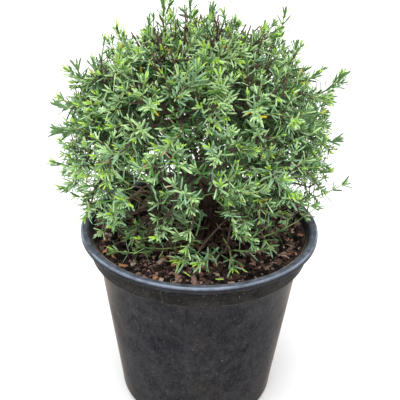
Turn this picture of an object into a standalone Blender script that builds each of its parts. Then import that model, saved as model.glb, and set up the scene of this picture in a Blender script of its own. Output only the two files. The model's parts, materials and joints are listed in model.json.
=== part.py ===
"""A clipped westringia in a round plastic nursery pot, in metres.

The origin is the middle of the pot's flat underside. Z is up and -Y faces the viewer.
"""

import math
import random

import bmesh
import bpy
import numpy as np
from mathutils import Vector

# Pot: a thin tapered wall with a wide collar and a rolled lip, on a recessed base with eight drain notches
POT_HEIGHT = 0.210
POT_SEGMENTS = 48
FLOOR_THICKNESS = 0.003
BASE_RADIUS = 0.0800
BASE_HEIGHT = 0.0060
FOOT_RADIUS = 0.0872
FOOT_BEND_HEIGHT = 0.0110
FOOT_BEND_RADIUS = 0.0885
BODY_TOP_RADIUS = 0.1080
BODY_TOP_HEIGHT = 0.1805
COLLAR_RADIUS = 0.1156
COLLAR_FOOT_HEIGHT = 0.1825
LIP_RADIUS = 0.1250
LIP_HEIGHT = 0.0061
LIP_INNER_RADIUS = 0.1177
WALL = 0.0020
COLLAR_INNER_RADIUS = 0.1135
DRAIN_NOTCHES = 8
NOTCH_WIDTH = 0.018
NOTCH_HEIGHT = 0.0046
NOTCH_INNER_RADIUS = 0.0740
NOTCH_OUTER_RADIUS = 0.0830

# Potting mix: fills the pot to just under the rim
MIX_HEIGHT = 0.2020
MIX_RELIEF = 0.0016
MIX_GAP = 0.0004
MIX_FLAT_RADIUS = 0.0150
MIX_RINGS = (0.034, 0.056, 0.078, 0.097)

# Trunk: flared at the soil, leaning a little, cut flat at its top fork
GAP = 0.0003
TRUNK_SIDES = 10
TRUNK_FOOT = Vector((0.0070, -0.0080, MIX_HEIGHT + GAP))
TRUNK_TOP = Vector((0.0000, 0.0010, 0.2700))
TRUNK_BEND = Vector((0.0020, 0.0000, 0.0))
TRUNK_RADII = ((0.00, 0.0098), (0.05, 0.0082), (0.14, 0.0070), (0.45, 0.0062), (0.75, 0.0055), (1.00, 0.0051))

# Crown: a clipped dome, given as a rounded solid of revolution that all leaf tips stay in
CROWN_CENTRE = Vector((-0.0040, 0.0, 0.2850))
CROWN_RADIUS = 0.1410
CROWN_UP = 0.1390
CROWN_DOWN = 0.1000
CROWN_ROUNDNESS = 2.3

# Tiers of foliage masses: count, azimuth of the first, elevation, height of the boughs on the trunk
TIERS = (
    ("low", 6, -120.0, -24.0, 0.2150),
    ("middle", 7, -90.0, 9.0, 0.2330),
    ("upper", 6, -105.0, 39.0, 0.2530),
    ("top", 3, 90.0, 70.0, 0.2700),
)
AZIMUTH_JITTER = 6.0
ELEVATION_JITTER = 3.0
MASS_SEED = 7

# Boughs: each one tapering limb from the trunk to its mass
BOUGH_SIDES = 6
BOUGH_RINGS = 5
BOUGH_FOOT_RADIUS = 0.0022
BOUGH_TIP_RADIUS = 0.0015
BOUGH_TIP_SHARE = 0.45
TOP_BOUGH_OFFSET = 0.0027

# Foliage masses: a small core, twigs from one stem, and leaves at the twig tips
MASS_MARGIN = 0.0010
MASS_CENTRE_SHARE = 0.70
MASS_INNER_SHARE = 0.50
CORE_FILL = 0.92
CORE_OUTER_SHARE = 0.81
CORE_LOWEST = 0.2340
CORE_UNEVENNESS = 0.07
STEM_SIDES = 5
TWIGS_PER_MASS = 6
TWIG_SPREAD = 78.0
TWIG_RADIUS = 0.0018
TWIG_TIP_RADIUS = 0.0013
LEAF_LENGTH = 0.034
LEAF_WIDTH = 0.0078
LEAF_THICKNESS = 0.0015
LEAF_SPLAY = 50.0
LEAVES_PER_WHORL = 2
LEAVES_PER_LONG_WHORL = 3
LEAF_ROOT = 0.0004
LIMB_CLEARANCE = 0.0012
SOIL_CLEARANCE = 0.0035
RIM_CLEARANCE = 0.0040
JOIN_TRIES = 12
NEAREST_POINTS = 2e-7

# Long shoots that stand out of the clipped dome: azimuth, elevation, reach as a share of the dome
LONG_SHOOTS = (
    (117.0, 61.0, 1.11), (98.0, 64.0, 1.12), (80.0, 63.0, 1.08), (39.0, 52.0, 1.16), (28.0, 42.0, 1.08),
    (15.0, 27.0, 1.15), (3.0, 7.0, 1.04), (-4.0, -8.0, 1.11), (-10.0, -20.0, 1.08), (146.0, 48.0, 1.07),
    (163.0, 31.0, 1.08), (176.0, 8.0, 1.06), (-178.0, -4.0, 1.06), (-172.0, -13.0, 1.03),
    (-84.0, -35.0, 0.98), (-50.0, -34.0, 0.95), (-128.0, -38.0, 0.86), (-150.0, -33.0, 0.97),
    (62.0, 22.0, 1.08), (92.0, -4.0, 1.06), (122.0, 12.0, 1.08), (74.0, -20.0, 1.05), (-90.0, 50.0, 1.04),
    (-60.0, 12.0, 1.04), (-120.0, 20.0, 1.05),
)

POT_COLOUR = (0.030, 0.030, 0.032)
MIX_COLOUR = (0.070, 0.040, 0.025)
WOOD_COLOUR = (0.130, 0.080, 0.050)
LEAF_COLOUR = (0.120, 0.260, 0.100)


def clear_scene():
    for obj in list(bpy.data.objects):
        bpy.data.objects.remove(obj, do_unlink=True)


def make_material(name, colour, roughness):
    material = bpy.data.materials.new(name)
    material.use_nodes = True
    shader = material.node_tree.nodes["Principled BSDF"]
    shader.inputs["Base Color"].default_value = (*colour, 1.0)
    shader.inputs["Roughness"].default_value = roughness
    return material


def make_object(name, points, faces, colour=None, roughness=0.7, smooth_angle=None):
    """A mesh object from points and faces, with its normals turned outward."""
    mesh = bpy.data.meshes.new(name)
    mesh.from_pydata([tuple(point) for point in points], [], faces)
    shape = bmesh.new()
    shape.from_mesh(mesh)
    bmesh.ops.recalc_face_normals(shape, faces=shape.faces)
    shape.to_mesh(mesh)
    shape.free()
    if smooth_angle is not None:
        mesh.shade_smooth()
        mesh.set_sharp_from_angle(angle=math.radians(smooth_angle))
    obj = bpy.data.objects.new(name, mesh)
    bpy.context.scene.collection.objects.link(obj)
    if colour is not None:
        mesh.materials.append(make_material(name + "_surface", colour, roughness))
    return obj


def apply_boolean(obj, operation, solver, other=None, collection=None):
    modifier = obj.modifiers.new(operation.lower(), "BOOLEAN")
    modifier.operation = operation
    modifier.solver = solver
    if collection is None:
        modifier.object = other
    else:
        modifier.operand_type = "COLLECTION"
        modifier.collection = collection
    graph = bpy.context.evaluated_depsgraph_get()
    result = bpy.data.meshes.new_from_object(obj.evaluated_get(graph))
    obj.modifiers.clear()
    obj.data = result


def lathe(profile, segments):
    """Points and faces of a profile of (radius, height) turned round Z, with both its ends on the axis."""
    points = []
    rings = []
    for radius, height in profile:
        if radius == 0.0:
            rings.append([len(points)])
            points.append((0.0, 0.0, height))
            continue
        rings.append(list(range(len(points), len(points) + segments)))
        for step in range(segments):
            angle = 2 * math.pi * step / segments
            points.append((radius * math.cos(angle), radius * math.sin(angle), height))
    faces = []
    for lower, upper in zip(rings, rings[1:]):
        for step in range(segments):
            after = (step + 1) % segments
            if len(lower) == 1:
                faces.append((lower[0], upper[after], upper[step]))
            elif len(upper) == 1:
                faces.append((lower[step], lower[after], upper[0]))
            else:
                faces.append((lower[step], lower[after], upper[after], upper[step]))
    return points, faces


def pot_profile():
    lip_foot = POT_HEIGHT - LIP_HEIGHT
    return [
        (0.0, 0.0),
        (BASE_RADIUS, 0.0),
        (BASE_RADIUS, BASE_HEIGHT),
        (FOOT_RADIUS, BASE_HEIGHT),
        (FOOT_BEND_RADIUS - 0.0004, BASE_HEIGHT + 0.0015),
        (FOOT_BEND_RADIUS, FOOT_BEND_HEIGHT),
        (BODY_TOP_RADIUS, BODY_TOP_HEIGHT),
        (COLLAR_RADIUS - 0.0004, COLLAR_FOOT_HEIGHT),
        (COLLAR_RADIUS, COLLAR_FOOT_HEIGHT + 0.0040),
        (COLLAR_RADIUS, lip_foot),
        (LIP_RADIUS - 0.0008, lip_foot),
        (LIP_RADIUS, lip_foot + 0.0010),
        (LIP_RADIUS, POT_HEIGHT - 0.0014),
        (LIP_RADIUS - 0.0014, POT_HEIGHT),
        (LIP_INNER_RADIUS + 0.0010, POT_HEIGHT),
        (LIP_INNER_RADIUS - 0.0015, POT_HEIGHT - 0.0014),
        (COLLAR_INNER_RADIUS, POT_HEIGHT - 0.0055),
        *inner_wall(),
        (0.0, FLOOR_THICKNESS),
    ]


def inner_wall():
    """The inner face of the pot from the collar down to the floor."""
    return [
        (COLLAR_INNER_RADIUS - 0.0004, COLLAR_FOOT_HEIGHT + 0.0030),
        (BODY_TOP_RADIUS - WALL, BODY_TOP_HEIGHT - 0.0010),
        (FOOT_BEND_RADIUS - WALL, FOOT_BEND_HEIGHT),
        (FOOT_RADIUS - WALL, BASE_HEIGHT + FLOOR_THICKNESS),
        (BASE_RADIUS - WALL, BASE_HEIGHT + FLOOR_THICKNESS),
        (BASE_RADIUS - WALL, FLOOR_THICKNESS),
    ]


def build_pot():
    points, faces = lathe(pot_profile(), POT_SEGMENTS)
    pot = make_object("pot", points, faces, POT_COLOUR, 0.55)
    cutter = build_notch_cutter()
    apply_boolean(pot, "DIFFERENCE", "EXACT", other=cutter)
    bpy.data.objects.remove(cutter, do_unlink=True)
    pot.data.shade_smooth()
    pot.data.set_sharp_from_angle(angle=math.radians(32))
    return pot


def build_notch_cutter():
    """Arched blocks that cut the corner between the base's side and the floor."""
    arch_steps = 4
    half = NOTCH_WIDTH / 2
    spring = NOTCH_HEIGHT * 0.35
    outline = [(-half, -0.004), (half, -0.004)]
    for step in range(arch_steps + 1):
        angle = math.pi * step / arch_steps
        outline.append((half * math.cos(angle), spring + (NOTCH_HEIGHT - spring) * math.sin(angle)))
    points = []
    faces = []
    for notch in range(DRAIN_NOTCHES):
        turn = 2 * math.pi * notch / DRAIN_NOTCHES
        out = Vector((math.cos(turn), math.sin(turn), 0.0))
        side = Vector((-math.sin(turn), math.cos(turn), 0.0))
        first = len(points)
        count = len(outline)
        for radius in (NOTCH_INNER_RADIUS, NOTCH_OUTER_RADIUS):
            points += [out * radius + side * across + Vector((0.0, 0.0, up)) for across, up in outline]
        faces.append(tuple(range(first, first + count)))
        faces.append(tuple(range(first + 2 * count - 1, first + count - 1, -1)))
        for step in range(count):
            after = (step + 1) % count
            faces.append((first + step, first + after, first + count + after, first + count + step))
    cutter = make_object("notch_cutter", points, faces)
    cutter.hide_render = True
    cutter.display_type = "WIRE"
    return cutter


def mix_height_at(x, y):
    """Gentle lumps in the mix, fading out round the trunk."""
    radius = math.hypot(x, y)
    lumps = math.sin(61 * x + 1.3) * math.cos(73 * y - 0.4) + 0.6 * math.sin(127 * y + 97 * x)
    fade = min(1.0, max(0.0, (radius - MIX_FLAT_RADIUS) / 0.015))
    return MIX_HEIGHT + MIX_RELIEF * 0.6 * lumps * fade


def build_mix():
    side = [(radius - MIX_GAP, height + MIX_GAP) for radius, height in inner_wall()]
    top_edge = (COLLAR_INNER_RADIUS - MIX_GAP - 0.0001, MIX_HEIGHT - 0.0010)
    surface = [(radius, MIX_HEIGHT) for radius in reversed(MIX_RINGS)]
    profile = [
        (0.0, FLOOR_THICKNESS + MIX_GAP),
        *reversed(side),
        top_edge,
        *surface,
        (MIX_FLAT_RADIUS, MIX_HEIGHT),
        (0.0, MIX_HEIGHT),
    ]
    points, faces = lathe(profile, POT_SEGMENTS)
    lowest_top = MIX_HEIGHT - 0.0005
    points = [(x, y, mix_height_at(x, y) if z > lowest_top else z) for x, y, z in points]
    return make_object("potting_mix", points, faces, MIX_COLOUR, 0.95, smooth_angle=40)


def side_axes(direction):
    """Two unit vectors at right angles to a direction and to each other."""
    helper = Vector((0.0, 0.0, 1.0)) if abs(direction.z) < 0.9 else Vector((1.0, 0.0, 0.0))
    across = direction.cross(helper).normalized()
    return across, direction.cross(across).normalized()


def tube(path, radii, sides, normals=None):
    """Points and faces of a closed tapering limb along a path."""
    points = []
    last = len(path) - 1
    across = None
    for index, (centre, radius) in enumerate(zip(path, radii)):
        if normals is not None and normals[index] is not None:
            along = normals[index]
        else:
            along = (path[min(index + 1, last)] - path[max(index - 1, 0)]).normalized()
        if across is None:
            across, lift = side_axes(along)
        else:
            across = (across - along * across.dot(along)).normalized()
            lift = along.cross(across).normalized()
        for step in range(sides):
            angle = 2 * math.pi * step / sides
            points.append(centre + (across * math.cos(angle) + lift * math.sin(angle)) * radius)
    faces = [tuple(reversed(range(sides))), tuple(range(last * sides, (last + 1) * sides))]
    for ring in range(last):
        for step in range(sides):
            after = (step + 1) % sides
            low = ring * sides
            high = low + sides
            faces.append((low + step, low + after, high + after, high + step))
    return points, faces


def trunk_point(share):
    return TRUNK_FOOT.lerp(TRUNK_TOP, share) + TRUNK_BEND * math.sin(math.pi * share)


def trunk_radius(share):
    for (low, wide), (high, narrow) in zip(TRUNK_RADII, TRUNK_RADII[1:]):
        if share <= high:
            return wide + (narrow - wide) * (share - low) / (high - low)
    return TRUNK_RADII[-1][1]


def build_trunk():
    upright = Vector((0.0, 0.0, 1.0))
    path = [trunk_point(share) for share, radius in TRUNK_RADII]
    radii = [radius for share, radius in TRUNK_RADII]
    points, faces = tube(path, radii, TRUNK_SIDES, normals=[upright] * len(path))
    return make_object("trunk", points, faces, WOOD_COLOUR, 0.9, smooth_angle=50)


def direction_of(azimuth, elevation):
    turn = math.radians(azimuth)
    rise = math.radians(elevation)
    return Vector((math.cos(rise) * math.cos(turn), math.cos(rise) * math.sin(turn), math.sin(rise)))


def dome_radius(direction):
    """Distance from the crown's centre to the clipped dome along a unit direction."""
    flat = math.hypot(direction.x, direction.y)
    height = CROWN_UP if direction.z > 0 else CROWN_DOWN
    power = CROWN_ROUNDNESS
    total = (flat / CROWN_RADIUS) ** power + (abs(direction.z) / height) ** power
    return total ** (-1 / power)


def dome_share(point):
    """How far out a point is, as a share of the dome's radius in that direction."""
    offset = point - CROWN_CENTRE
    distance = offset.length
    return distance / dome_radius(offset / distance) if distance > 1e-9 else 0.0


class Mass:
    """One mass of foliage with its own space in the crown."""

    def __init__(self, number, tier, azimuth, elevation, fork_height):
        self.number = number
        self.tier = tier
        self.direction = direction_of(azimuth, elevation)
        self.fork_height = fork_height
        self.outward = Vector((self.direction.x, self.direction.y, 0.0)).normalized()
        self.radius = dome_radius(self.direction)
        self.centre = CROWN_CENTRE + self.direction * self.radius * MASS_CENTRE_SHARE
        self.bough_tip = CROWN_CENTRE + self.direction * self.radius * BOUGH_TIP_SHARE
        self.planes = []

    def find_planes(self, masses):
        """Flat borders half way to every other mass, and one towards the bare middle of the crown."""
        for other in masses:
            if other is self:
                continue
            middle = (self.centre + other.centre) / 2
            normal = (other.centre - self.centre).normalized()
            self.planes.append((normal, normal.dot(middle) - MASS_MARGIN))
        inner = CROWN_CENTRE + self.direction * self.radius * MASS_INNER_SHARE
        self.planes.append((-self.direction, -self.direction.dot(inner)))

    def holds(self, point, outer_share):
        """Whether a point lies in this mass's space, clear of the mix and the rim."""
        if dome_share(point) > outer_share:
            return False
        if point.z < MIX_HEIGHT + SOIL_CLEARANCE:
            return False
        from_axis = math.hypot(point.x, point.y)
        if point.z < POT_HEIGHT + RIM_CLEARANCE and from_axis > COLLAR_INNER_RADIUS - RIM_CLEARANCE:
            return False
        return all(normal.dot(point) <= limit for normal, limit in self.planes)

    def reach(self, start, direction, outer_share):
        """Distance from a start inside the space to its border."""
        near = 0.0
        far = 0.25
        for _ in range(12):
            middle = (near + far) / 2
            if self.holds(start + direction * middle, outer_share):
                near = middle
            else:
                far = middle
        return near


def plan_masses():
    rng = random.Random(MASS_SEED)
    masses = []
    for tier, count, first_azimuth, elevation, fork_height in TIERS:
        for index in range(count):
            azimuth = first_azimuth + 360.0 * index / count + rng.uniform(-AZIMUTH_JITTER, AZIMUTH_JITTER)
            tilt = elevation + rng.uniform(-ELEVATION_JITTER, ELEVATION_JITTER)
            masses.append(Mass(len(masses) + 1, tier, azimuth, tilt, fork_height))
    for mass in masses:
        mass.find_planes(masses)
    return masses


def bough_path(mass):
    """A limb's path and radii: it leaves the trunk outward and bends up to its mass."""
    share = (mass.fork_height - TRUNK_FOOT.z) / (TRUNK_TOP.z - TRUNK_FOOT.z)
    axis = trunk_point(share)
    upright = Vector((0.0, 0.0, 1.0))
    if mass.tier == "top":
        start = axis + mass.outward * TOP_BOUGH_OFFSET + upright * GAP
        first_normal = upright
        control = start + upright * 0.030 + mass.outward * 0.004
    else:
        start = axis + mass.outward * (trunk_radius(share) + 2 * GAP)
        first_normal = mass.outward
        away = mass.bough_tip - start
        level = math.hypot(away.x, away.y)
        control = start + mass.outward * level * 0.45 + upright * away.z * 0.30
    path = []
    radii = []
    for ring in range(BOUGH_RINGS):
        t = ring / (BOUGH_RINGS - 1)
        path.append(start * (1 - t) ** 2 + control * 2 * t * (1 - t) + mass.bough_tip * t ** 2)
        radii.append(BOUGH_FOOT_RADIUS + (BOUGH_TIP_RADIUS - BOUGH_FOOT_RADIUS) * t)
    end_direction = (mass.bough_tip - control).normalized()
    return path, radii, first_normal, end_direction


def build_bough(mass):
    path, radii, first_normal, end_direction = bough_path(mass)
    normals = [first_normal] + [None] * (BOUGH_RINGS - 1)
    points, faces = tube(path, radii, BOUGH_SIDES, normals=normals)
    name = "bough_%02d" % mass.number
    return make_object(name, points, faces, WOOD_COLOUR, 0.9, smooth_angle=70)


def limb_segments(masses):
    """Every limb as short straight pieces, for keeping leaves off them."""
    segments = []
    for mass in masses:
        path, radii, _, _ = bough_path(mass)
        for low, high, radius in zip(path, path[1:], radii):
            segments.append((low, high, radius))
    shares = [share for share, radius in TRUNK_RADII]
    for low, high in zip(shares, shares[1:]):
        segments.append((trunk_point(low), trunk_point(high), trunk_radius(low)))
    return segments


def clear_of_limbs(point, segments):
    for low, high, radius in segments:
        span = high - low
        share = min(1.0, max(0.0, (point - low).dot(span) / span.length_squared))
        if (point - (low + span * share)).length < radius + LIMB_CLEARANCE:
            return False
    return True


def leaf_solid(root, direction, length, turn):
    """A leaf of eight faces: a stretched diamond, widest two fifths of the way along."""
    across, lift = side_axes(direction)
    wide = across * math.cos(turn) + lift * math.sin(turn)
    thick = direction.cross(wide).normalized()
    middle = root + direction * length * 0.42
    points = [
        root,
        middle + wide * LEAF_WIDTH / 2,
        middle + thick * LEAF_THICKNESS / 2,
        middle - wide * LEAF_WIDTH / 2,
        middle - thick * LEAF_THICKNESS / 2,
        root + direction * length,
    ]
    faces = []
    for step in range(4):
        after = (step + 1) % 4
        faces.append((0, 1 + after, 1 + step))
        faces.append((5, 1 + step, 1 + after))
    return points, faces


def core_solid(mass, rng):
    """A lumpy core that follows the mass's own space."""
    shape = bmesh.new()
    bmesh.ops.create_icosphere(shape, subdivisions=2, radius=1.0)
    shape.verts.ensure_lookup_table()
    points = []
    for vertex in shape.verts:
        direction = vertex.co.normalized()
        room = mass.reach(mass.centre, direction, CORE_OUTER_SHARE)
        if direction.z < 0:
            room = min(room, (mass.centre.z - CORE_LOWEST) / -direction.z)
        lump = 1 + rng.uniform(-1, 1) * CORE_UNEVENNESS
        points.append(mass.centre + direction * room * CORE_FILL * lump)
    faces = [tuple(vertex.index for vertex in face.verts) for face in shape.faces]
    shape.free()
    return points, faces


def tilted(direction, angle, turn):
    """A direction leaned away by an angle, towards a turn round it."""
    across, lift = side_axes(direction)
    lean = across * math.cos(turn) + lift * math.sin(turn)
    return (direction * math.cos(angle) + lean * math.sin(angle)).normalized()


def twig_plan(mass, rng):
    """Each twig's direction, its reach as a share of the dome, and the number of its side leaves."""
    twigs = []
    for azimuth, elevation, reach in LONG_SHOOTS:
        direction = direction_of(azimuth, elevation)
        tip = CROWN_CENTRE + direction * dome_radius(direction) * (reach - 0.02)
        if mass.holds(tip, reach):
            twigs.append(((tip - mass.centre).normalized(), reach, LEAVES_PER_LONG_WHORL))
    golden_turn = math.radians(137.5)
    first_turn = rng.uniform(0, 2 * math.pi)
    for index in range(TWIGS_PER_MASS):
        lean = math.radians(TWIG_SPREAD) * math.sqrt((index + 0.35) / TWIGS_PER_MASS)
        direction = tilted(mass.direction, lean, first_turn + golden_turn * index)
        if all(direction.dot(twig[0]) < 0.93 for twig in twigs):
            twigs.append((direction, rng.uniform(0.97, 1.02), LEAVES_PER_WHORL))
    return twigs


def grow_leaves(mass, tip, direction, outer_share, side_leaves, segments, rng):
    """The leaves at the end of one twig: one straight on and a whorl leaning out."""
    first_turn = rng.uniform(0, math.pi)
    leans = [(math.radians(rng.uniform(0, 8)), first_turn)]
    for index in range(side_leaves):
        lean = math.radians(LEAF_SPLAY + rng.uniform(-9, 9))
        leans.append((lean, first_turn + 2 * math.pi * index / side_leaves))
    leaves = []
    for index, (lean, turn) in enumerate(leans):
        way = tilted(direction, lean, turn)
        root = tip - direction * (0.004 if index else 0.001) - way * LEAF_ROOT
        room = LEAF_ROOT + mass.reach(root + way * LEAF_ROOT, way, outer_share)
        length = min(LEAF_LENGTH * rng.uniform(0.9, 1.08), room)
        while length > 0.55 * LEAF_LENGTH:
            points, faces = leaf_solid(root, way, length, rng.uniform(0, math.pi))
            outside = [point for point in points[1:] if not mass.holds(point, outer_share)]
            along = [root + way * length * share for share in (0.3, 0.6, 1.0)]
            if not outside and all(clear_of_limbs(point, segments) for point in along):
                leaves.append((points, faces))
                break
            length -= 0.003
    return leaves


def mass_pieces(mass, segments, attempt):
    """Every closed piece that a mass is joined from: core, stem, twigs and leaves."""
    rng = random.Random(100 * mass.number + attempt)
    _, _, _, bough_end = bough_path(mass)
    pieces = [core_solid(mass, rng)]
    stem_start = mass.bough_tip + bough_end * GAP
    stem_path = [stem_start, stem_start + bough_end * 0.006, mass.centre]
    stem_normals = [bough_end, None, None]
    pieces.append(tube(stem_path, [BOUGH_TIP_RADIUS] * 3, STEM_SIDES, normals=stem_normals))
    for direction, outer_share, side_leaves in twig_plan(mass, rng):
        room = mass.reach(mass.centre, direction, outer_share)
        tip = mass.centre + direction * max(room - LEAF_LENGTH * 0.75, room * 0.45)
        pieces.append(tube([mass.centre, tip], [TWIG_RADIUS, TWIG_TIP_RADIUS], 3))
        pieces += grow_leaves(mass, tip, direction, outer_share, side_leaves, segments, rng)
    return pieces


def build_mass(mass, segments):
    """Joins one mass, growing it afresh until the join is sound."""
    for attempt in range(JOIN_TRIES):
        body = join_mass(mass, mass_pieces(mass, segments, attempt))
        if is_sound(body):
            return body
        bpy.data.objects.remove(body, do_unlink=True)
    raise RuntimeError("foliage_%02d has no sound join" % mass.number)


def is_sound(obj):
    """Whether every edge has exactly two faces once points that nearly coincide are made one."""
    mesh = obj.data
    points = np.empty(len(mesh.vertices) * 3)
    mesh.vertices.foreach_get("co", points)
    corners = np.array([tuple(polygon.vertices) for polygon in mesh.polygons])
    for offset in (0.0, 0.5):
        cells = np.floor(points.reshape(-1, 3) / NEAREST_POINTS + offset).astype(np.int64)
        _, index = np.unique(cells, axis=0, return_inverse=True)
        faces = index.reshape(-1)[corners]
        whole = (faces[:, 0] != faces[:, 1]) & (faces[:, 1] != faces[:, 2]) & (faces[:, 0] != faces[:, 2])
        faces = faces[whole]
        ends = np.concatenate([faces[:, [0, 1]], faces[:, [1, 2]], faces[:, [2, 0]]])
        _, uses = np.unique(ends, axis=0, return_counts=True)
        _, shares = np.unique(np.sort(ends, axis=1), axis=0, return_counts=True)
        if (uses != 1).any() or (shares != 2).any():
            return False
    return True


def join_mass(mass, pieces):
    """Joins the pieces of one mass into a single closed solid."""
    name = "foliage_%02d" % mass.number
    core_points, core_faces = pieces[0]
    body = make_object(name, core_points, core_faces, LEAF_COLOUR, 0.7)
    helpers = bpy.data.collections.new(name + "_pieces")
    bpy.context.scene.collection.children.link(helpers)
    for index, (points, faces) in enumerate(pieces[1:]):
        piece = make_object("%s_piece_%d" % (name, index), points, faces)
        bpy.context.scene.collection.objects.unlink(piece)
        helpers.objects.link(piece)
    apply_boolean(body, "UNION", "EXACT", collection=helpers)
    for piece in list(helpers.objects):
        bpy.data.objects.remove(piece, do_unlink=True)
    bpy.data.collections.remove(helpers)
    keep_largest_body(body)
    return body


def keep_largest_body(obj):
    """Drops loose scraps and sealed hollows that a join can leave."""
    shape = bmesh.new()
    shape.from_mesh(obj.data)
    unseen = set(shape.verts)
    groups = []
    while unseen:
        start = unseen.pop()
        group = {start}
        open_ends = [start]
        while open_ends:
            vertex = open_ends.pop()
            for edge in vertex.link_edges:
                other = edge.other_vert(vertex)
                if other in unseen:
                    unseen.discard(other)
                    group.add(other)
                    open_ends.append(other)
        groups.append(group)
    groups.sort(key=len, reverse=True)
    scraps = [vertex for group in groups[1:] for vertex in group]
    if scraps:
        bmesh.ops.delete(shape, geom=scraps, context="VERTS")
    bmesh.ops.triangulate(shape, faces=shape.faces)
    shape.to_mesh(obj.data)
    shape.free()


def main():
    clear_scene()
    build_pot()
    build_mix()
    build_trunk()
    masses = plan_masses()
    segments = limb_segments(masses)
    for mass in masses:
        build_bough(mass)
    for mass in masses:
        build_mass(mass, segments)


main()
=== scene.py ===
"""Looks of a clipped westringia in a nursery pot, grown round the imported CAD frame. Metres, Z up."""

import json
import math
import random

import bmesh
import bpy
import numpy as np
from mathutils import Matrix, Vector

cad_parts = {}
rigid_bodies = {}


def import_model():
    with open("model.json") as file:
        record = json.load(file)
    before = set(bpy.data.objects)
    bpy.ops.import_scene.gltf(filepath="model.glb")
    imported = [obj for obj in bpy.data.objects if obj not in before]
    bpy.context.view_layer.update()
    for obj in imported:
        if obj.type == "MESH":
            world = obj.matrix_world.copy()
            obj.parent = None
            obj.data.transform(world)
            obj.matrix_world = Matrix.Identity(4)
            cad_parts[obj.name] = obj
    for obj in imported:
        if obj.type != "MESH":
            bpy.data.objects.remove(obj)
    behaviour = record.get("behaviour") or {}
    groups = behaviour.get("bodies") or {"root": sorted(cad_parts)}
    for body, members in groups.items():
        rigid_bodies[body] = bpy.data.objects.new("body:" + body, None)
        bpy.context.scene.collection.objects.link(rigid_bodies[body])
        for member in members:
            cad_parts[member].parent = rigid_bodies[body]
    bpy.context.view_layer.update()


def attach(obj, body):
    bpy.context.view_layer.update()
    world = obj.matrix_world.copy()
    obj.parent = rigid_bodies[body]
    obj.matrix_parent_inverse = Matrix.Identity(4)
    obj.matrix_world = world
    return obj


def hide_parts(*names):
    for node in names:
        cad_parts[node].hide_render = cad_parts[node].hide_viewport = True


UP = Vector((0.0, 0.0, 1.0))

# Camera: fitted to the pot's rings and outline in the photo
CAMERA_PLACE = (0, -0.55, 0.511)
CAMERA_PITCH = 26.67
CAMERA_ROLL = 1.28
CAMERA_LENS = 52.74

# Light: pale surroundings and one broad, soft light from above and a little in front
WORLD_STRENGTH = 0.6
SUN_STRENGTH = 3.7
SUN_SPREAD = 75
SUN_PLACE = (-0.15, -0.4, 1.6)

# Pot
POT_HEIGHT = 0.21
POT_SEGMENTS = 160
FLOOR_THICKNESS = 0.003
BASE_RADIUS = 0.08
BASE_HEIGHT = 0.006
FOOT_RADIUS = 0.0872
FOOT_BEND_HEIGHT = 0.011
FOOT_BEND_RADIUS = 0.0885
BODY_TOP_RADIUS = 0.108
BODY_TOP_HEIGHT = 0.1805
COLLAR_RADIUS = 0.1156
COLLAR_FOOT_HEIGHT = 0.1825
COLLAR_INNER_RADIUS = 0.1135
LIP_RADIUS = 0.125
LIP_HEIGHT = 0.0061
LIP_INNER_RADIUS = 0.1177
WALL = 0.002
DRAIN_NOTCHES = 8
NOTCH_WIDTH = 0.018
NOTCH_HEIGHT = 0.0046
NOTCH_RADII = (0.074, 0.083)

# The pot's plastic, part by part: the noise's scale, detail and roughness, then two shades, each after its
# place on the noise
PLASTIC = {
    "body": (64, 7, 0.9, 0.37, (0.0008, 0.0016, 0.0058), 0.63, (0.035, 0.035, 0.039)),
    "dust": (60, 3, 0.6, 0.3, (0.054, 0.045, 0.036), 0.7, (0.03, 0.029, 0.028)),
    "collar": (72, 7, 0.9, 0.36, (0.004, 0.004, 0.0046), 0.64, (0.033, 0.0312, 0.03)),
    "collar_line": (70, 4, 0.6, 0.4, (0.014, 0.013, 0.012), 0.62, (0.09, 0.08, 0.066)),
    "lip_side": (30, 5, 0.6, 0.3, (0.014, 0.015, 0.021), 0.7, (0.032, 0.034, 0.043)),
    "lip_line": (60, 4, 0.6, 0.4, (0.02, 0.02, 0.023), 0.62, (0.1, 0.098, 0.1)),
    # The lip's top: mottled dust, made lighter and bluish by a painted reflection of the sky
    "lip_top_dust_and_reflection": (110, 6, 0.7, 0.34, (0.052, 0.06, 0.076), 0.66, (0.17, 0.195, 0.24)),
    # Painted highlight: the pale bluish line along the lip's rounded outer edge
    "lip_edge_highlight": (45, 5, 0.6, 0.36, (0.12, 0.14, 0.18), 0.56, (0.33, 0.4, 0.52)),
    "grit": (50, 4, 0.6, 0.3, (0.08, 0.064, 0.048), 0.7, (0.062, 0.058, 0.054)),
    "specks": (50, 4, 0.6, 0.3, (0.21, 0.16, 0.105), 0.7, (0.19, 0.175, 0.155)),
}
# Painted shadow: the near-black colour that darkens the collar under the lip's overhang
UNDER_LIP_SHADOW = (0.004, 0.0036, 0.0034)

# Potting mix; a kind of chip has its shade and its share of the chips
MIX_HEIGHT = 0.202
MIX_RADIUS = 0.113
MIX_PLAY = 0.0004
MIX_RINGS = 60
MIX_SEGMENTS = 180
CRUMB_HEIGHT = 0.0006
CHIP_COUNT = 4200
CHIP_LENGTH = 0.0056
CHIP_LIMITS = (0.0024, 0.014)
MIX_SEED = 31
CHIP_KINDS = {
    # Near-black chips: painted shade that stands in for the dark gaps between the chips
    "chip_gap_shadow": ((0.006, 0.004, 0.0035), 0.3),
    "chip_dark": ((0.03, 0.017, 0.014), 0.22),
    "chip_brown": ((0.105, 0.06, 0.046), 0.2),
    "chip_pink": ((0.3, 0.19, 0.155), 0.17),
    "chip_pale": ((0.56, 0.42, 0.33), 0.07),
    "chip_orange": ((0.46, 0.22, 0.105), 0.04),
}

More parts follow.
